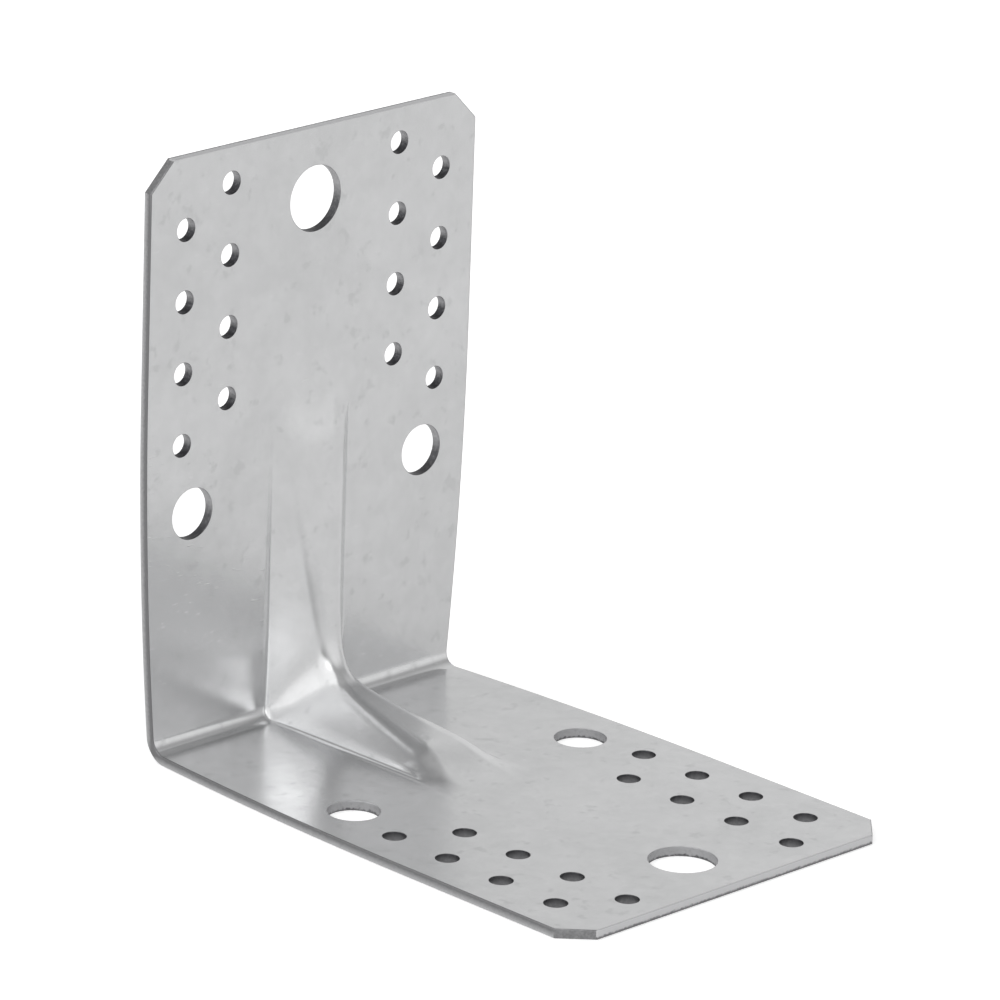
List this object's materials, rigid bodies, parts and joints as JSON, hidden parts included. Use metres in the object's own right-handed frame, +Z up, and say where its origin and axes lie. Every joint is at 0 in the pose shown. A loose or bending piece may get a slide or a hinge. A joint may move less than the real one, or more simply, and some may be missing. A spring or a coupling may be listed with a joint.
{
  "type": "reinforced angle bracket",
  "caption": "Right-angle bracket of pressed galvanised sheet steel, with a hollow stiffening rib through the bend and nail and bolt holes in both legs.",
  "frame": {"origin": "on the ground under the middle of the footprint", "axes": "+Z up along the upright leg, +Y from the lying leg's free edge towards the upright leg's back face, +X across the width"},
  "size_m": [0.089, 0.126, 0.126],
  "materials": {
    "galvanised_steel": "hot-dip galvanised sheet, semi-gloss light grey, faint mottling"
  },
  "bodies": {
    "root": {"angle_bracket": "galvanised_steel"}
  },
  "joints": []
}
